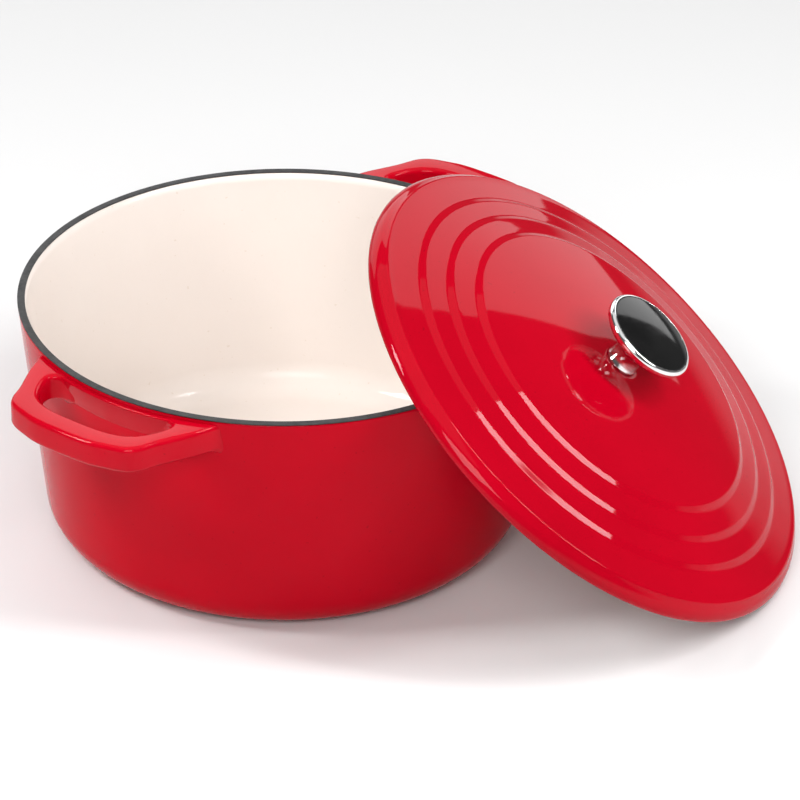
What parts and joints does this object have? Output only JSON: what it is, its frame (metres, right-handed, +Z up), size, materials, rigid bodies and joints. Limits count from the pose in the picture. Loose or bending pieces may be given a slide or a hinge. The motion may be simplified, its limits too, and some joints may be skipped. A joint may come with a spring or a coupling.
{
  "type": "cast iron dutch oven",
  "caption": "Round enamelled cast iron casserole with splayed loop handles and a stepped domed lid, its bright mushroom knob capped in black; the lid leans on the rim.",
  "frame": {"origin": "centre of the pot's flat base, on the face it stands on", "axes": "+Z up out of the pot's mouth; the two loop handles lie along X; the lid leans out towards -Y and a little towards +X"},
  "size_m": [0.3358, 0.3536, 0.1633],
  "materials": {
    "red_enamel": "gloss cherry red enamel fused to the iron",
    "cream_enamel": "gloss cream enamel",
    "matt_black_band": "matt black ground coat",
    "lid_red_enamel": "gloss cherry red enamel fused to the iron",
    "lid_cream_enamel": "gloss cream enamel",
    "lid_matt_band": "matt black ground coat",
    "knob_chrome": "polished",
    "knob_black": "gloss black phenolic",
    "bolt_steel": "plain steel",
    "spring_steel": "dark spring steel",
    "washer_zinc": "zinc plated"
  },
  "bodies": {
    "pot": {"pot_casting": "red_enamel", "pot_lining": "cream_enamel", "pot_rim_band": "matt_black_band"},
    "lid": {"lid_casting": "lid_red_enamel", "lid_lining": "lid_cream_enamel", "lid_seat_band": "lid_matt_band", "knob_body": "knob_chrome", "knob_disc": "knob_black", "knob_bolt": "bolt_steel", "knob_lock_washer": "spring_steel", "knob_washer": "washer_zinc"}
  },
  "joints": [
    {"name": "lid_swing", "type": "hinge", "parent": "pot", "child": "lid", "pos_m": [-0.02388, 0.05314, -0.06861], "axis": [-0.9121, -0.4099, 0], "range_deg": [0, 39.6]}
  ]
}
